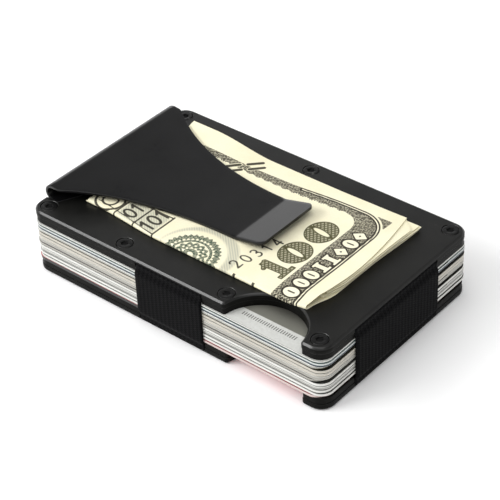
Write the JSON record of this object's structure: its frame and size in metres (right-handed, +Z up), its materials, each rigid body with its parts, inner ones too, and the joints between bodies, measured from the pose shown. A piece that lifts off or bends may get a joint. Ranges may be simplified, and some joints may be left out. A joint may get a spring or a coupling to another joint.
{
  "type": "minimalist wallet",
  "caption": "Slim rigid card wallet: screwed black metal plates joined by elastic bands around a stack of cards, with a spring steel clip gripping folded banknotes on top.",
  "frame": {"origin": "centre of the lower plate's flat outer face, which the wallet rests on", "axes": "+X along the long side towards the closed end with the end elastic, so cards leave past -X; +Y across the width, away from the side with the thumb notches; +Z up through the plates to the money clip"},
  "size_m": [0.0869, 0.0558, 0.021],
  "materials": {
    "plate_black": "matte black anodised, bright line on the cut chamfer",
    "clip_black": "satin black coated spring steel",
    "screw_black": "black oxide, hex socket",
    "webbing": "ribbed black elastic webbing",
    "card_white": "laminated card, semi-gloss",
    "card_cream": "laminated card, semi-gloss",
    "card_blue": "laminated card, semi-gloss",
    "card_grey": "laminated card, semi-gloss",
    "card_dark": "laminated card, semi-gloss",
    "card_pink": "laminated card, semi-gloss",
    "note_paper": "cotton paper with intaglio style line printing"
  },
  "bodies": {
    "bottom_assembly": {"bottom_outer_plate": "plate_black", "bottom_inner_plate": "plate_black", "bottom_screw_1": "screw_black", "bottom_screw_2": "screw_black", "bottom_screw_3": "screw_black", "bottom_screw_4": "screw_black", "bottom_screw_5": "screw_black", "bottom_screw_6": "screw_black", "bottom_screw_7": "screw_black", "cross_elastic": "webbing", "end_elastic": "webbing"},
    "top_assembly": {"top_outer_plate": "plate_black", "top_inner_plate": "plate_black", "top_screw_1": "screw_black", "top_screw_2": "screw_black", "top_screw_3": "screw_black", "top_screw_4": "screw_black", "top_screw_5": "screw_black", "top_screw_6": "screw_black", "top_screw_7": "screw_black", "clip_base": "clip_black", "clip_screw_1": "screw_black", "clip_screw_2": "screw_black"},
    "clip_leaf": {"clip_leaf": "clip_black"},
    "banknotes": {"banknote_lower": "note_paper", "banknote_upper": "note_paper"},
    "card_01": {"card_01": "card_pink"},
    "card_02": {"card_02": "card_white"},
    "card_03": {"card_03": "card_grey"},
    "card_04": {"card_04": "card_white"},
    "card_05": {"card_05": "card_cream"},
    "card_06": {"card_06": "card_dark"},
    "card_07": {"card_07": "card_cream"},
    "card_08": {"card_08": "card_cream"},
    "card_09": {"card_09": "card_cream"},
    "card_10": {"card_10": "card_white"},
    "card_11": {"card_11": "card_blue"},
    "card_12": {"card_12": "card_white"}
  },
  "joints": [
    {"name": "top_lift", "type": "slide", "parent": "bottom_assembly", "child": "top_assembly", "axis": [0, 0, 1], "range_m": [0, 0.003], "stiffness_N_per_m": 1200, "springref_m": -0.004, "deforming": ["cross_elastic", "end_elastic"]},
    {"name": "clip_flex", "type": "hinge", "parent": "top_assembly", "child": "clip_leaf", "pos_m": [-0.0407, 0, 0.01875], "axis": [0, -1, 0], "range_deg": [0, 8], "stiffness_Nm_per_rad": 1.2, "springref_deg": -2.29},
    {"name": "notes_slide", "type": "slide", "parent": "top_assembly", "child": "banknotes", "axis": [1, 0, 0], "range_m": [0, 0.046]},
    {"name": "card_01_slide", "type": "slide", "parent": "bottom_assembly", "child": "card_01", "axis": [-1, 0, 0], "range_m": [0, 0.07]},
    {"name": "card_02_slide", "type": "slide", "parent": "bottom_assembly", "child": "card_02", "axis": [-1, 0, 0], "range_m": [0, 0.07]},
    {"name": "card_03_slide", "type": "slide", "parent": "bottom_assembly", "child": "card_03", "axis": [-1, 0, 0], "range_m": [0, 0.07]},
    {"name": "card_04_slide", "type": "slide", "parent": "bottom_assembly", "child": "card_04", "axis": [-1, 0, 0], "range_m": [0, 0.07]},
    {"name": "card_05_slide", "type": "slide", "parent": "bottom_assembly", "child": "card_05", "axis": [-1, 0, 0], "range_m": [0, 0.07]},
    {"name": "card_06_slide", "type": "slide", "parent": "bottom_assembly", "child": "card_06", "axis": [-1, 0, 0], "range_m": [0, 0.07]},
    {"name": "card_07_slide", "type": "slide", "parent": "bottom_assembly", "child": "card_07", "axis": [-1, 0, 0], "range_m": [0, 0.07]},
    {"name": "card_08_slide", "type": "slide", "parent": "bottom_assembly", "child": "card_08", "axis": [-1, 0, 0], "range_m": [0, 0.07]},
    {"name": "card_09_slide", "type": "slide", "parent": "bottom_assembly", "child": "card_09", "axis": [-1, 0, 0], "range_m": [0, 0.07]},
    {"name": "card_10_slide", "type": "slide", "parent": "bottom_assembly", "child": "card_10", "axis": [-1, 0, 0], "range_m": [0, 0.07]},
    {"name": "card_11_slide", "type": "slide", "parent": "bottom_assembly", "child": "card_11", "axis": [-1, 0, 0], "range_m": [0, 0.07]},
    {"name": "card_12_slide", "type": "slide", "parent": "bottom_assembly", "child": "card_12", "axis": [-1, 0, 0], "range_m": [0, 0.07]}
  ]
}
